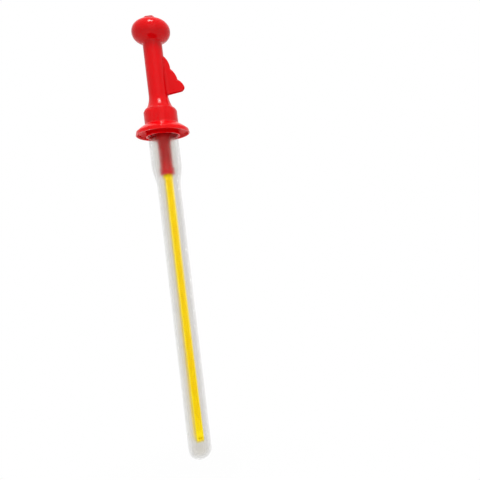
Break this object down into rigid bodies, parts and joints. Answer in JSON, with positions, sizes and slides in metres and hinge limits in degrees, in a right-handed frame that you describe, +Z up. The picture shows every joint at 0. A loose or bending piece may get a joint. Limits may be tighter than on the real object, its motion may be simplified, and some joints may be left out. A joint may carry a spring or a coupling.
{
  "type": "bubble wand",
  "caption": "Sword-style bubble wand: a domed tube for soap liquid, a screw-on guard with a hollow ball-topped handle, and a ribbed dipping loop inside.",
  "frame": {"origin": "on the tube's axis, where its long straight wall begins above the domed end", "axes": "+Z up along the tube's axis towards the handle, and the loop's two rails face -Y and +Y. The handle's fin points along +X turned by 20 degrees towards -Y, and the picture looks along +Y turned by 20 degrees towards +X."},
  "size_m": [0.0536, 0.0536, 0.4484],
  "materials": {
    "tube_plastic": "translucent frosted plastic with a soft shine",
    "red_handle": "glossy blow-moulded plastic",
    "red_guard": "glossy injection-moulded plastic",
    "red_stem": "glossy injection-moulded plastic",
    "yellow_stick": "semi-gloss injection-moulded plastic",
    "seal_foam": "matt closed-cell foam"
  },
  "bodies": {
    "tube": {"tube": "tube_plastic"},
    "seal": {"seal": "seal_foam"},
    "wand": {"handle": "red_handle", "guard": "red_guard", "stem": "red_stem", "stick": "yellow_stick"}
  },
  "joints": [
    {"name": "wand_pull", "type": "slide", "parent": "tube", "child": "seal", "axis": [0, 0, 1], "range_m": [0, 0.345]},
    {"name": "cap_unscrew", "type": "hinge", "parent": "seal", "child": "wand", "pos_m": [0, 0, 0.3336], "axis": [0, 0, 1], "range_deg": [0, 540]}
  ]
}
